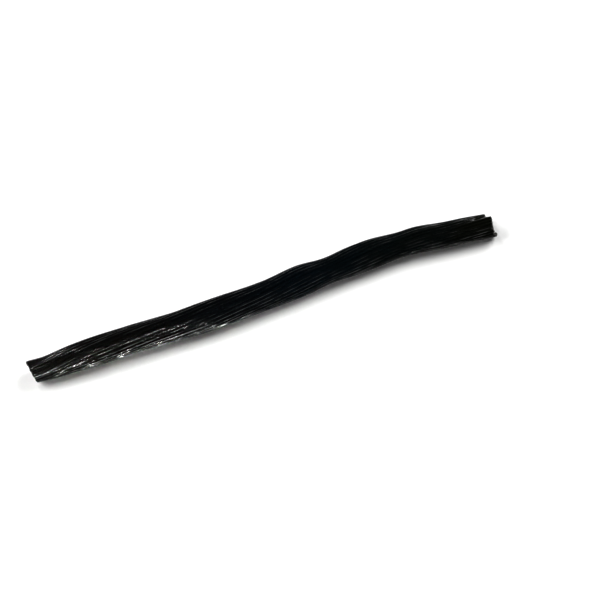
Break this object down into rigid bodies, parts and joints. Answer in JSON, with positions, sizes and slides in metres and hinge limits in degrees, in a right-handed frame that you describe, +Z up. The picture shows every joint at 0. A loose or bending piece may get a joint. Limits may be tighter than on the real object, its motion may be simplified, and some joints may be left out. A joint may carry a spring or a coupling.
{
  "type": "licorice twist",
  "caption": "Black licorice twist: a long, slightly bowed rope of soft ridged licorice, nipped narrow at one end and torn at the other.",
  "frame": {"origin": "on the surface it lies on, under the middle of its outer box", "axes": "+X along the rope from the nipped end to the torn end, +Y towards the back of its bow, +Z up"},
  "size_m": [0.2032, 0.0164, 0.012],
  "materials": {
    "licorice": "near-black soft licorice with an oily sheen along its ridges"
  },
  "bodies": {
    "root": {"licorice_twist": "licorice"}
  },
  "joints": []
}
